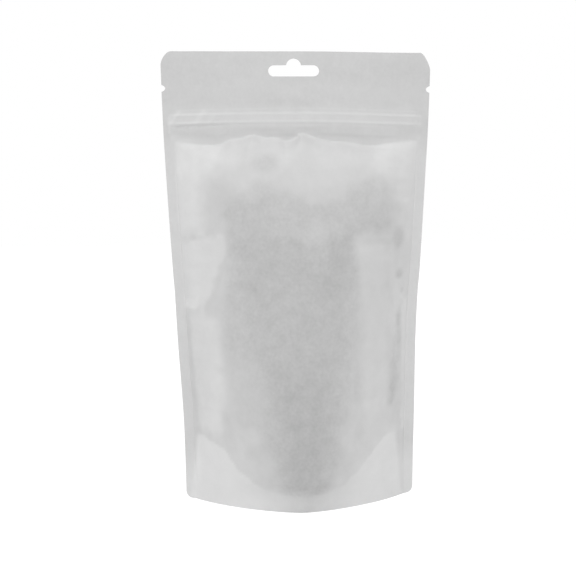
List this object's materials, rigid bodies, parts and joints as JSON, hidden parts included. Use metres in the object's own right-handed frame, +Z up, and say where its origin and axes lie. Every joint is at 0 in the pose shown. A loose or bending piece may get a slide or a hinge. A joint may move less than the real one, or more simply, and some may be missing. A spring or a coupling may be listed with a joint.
{
  "type": "kraft stand-up pouch",
  "caption": "Filled and sealed kraft paper stand-up pouch with a bottom gusset, a press-to-close zip, tear notches and a euro hang slot.",
  "frame": {"origin": "middle of the base, on the surface that the pouch stands on", "axes": "+Z up from the base to the hang slot, -Y out of the front panel, +X to the right seen from the front"},
  "size_m": [0.1598, 0.0646, 0.2699],
  "materials": {
    "kraft_paper": "matte white kraft with a see-through shade of the filling"
  },
  "bodies": {
    "root": {"pouch": "kraft_paper"}
  },
  "joints": []
}
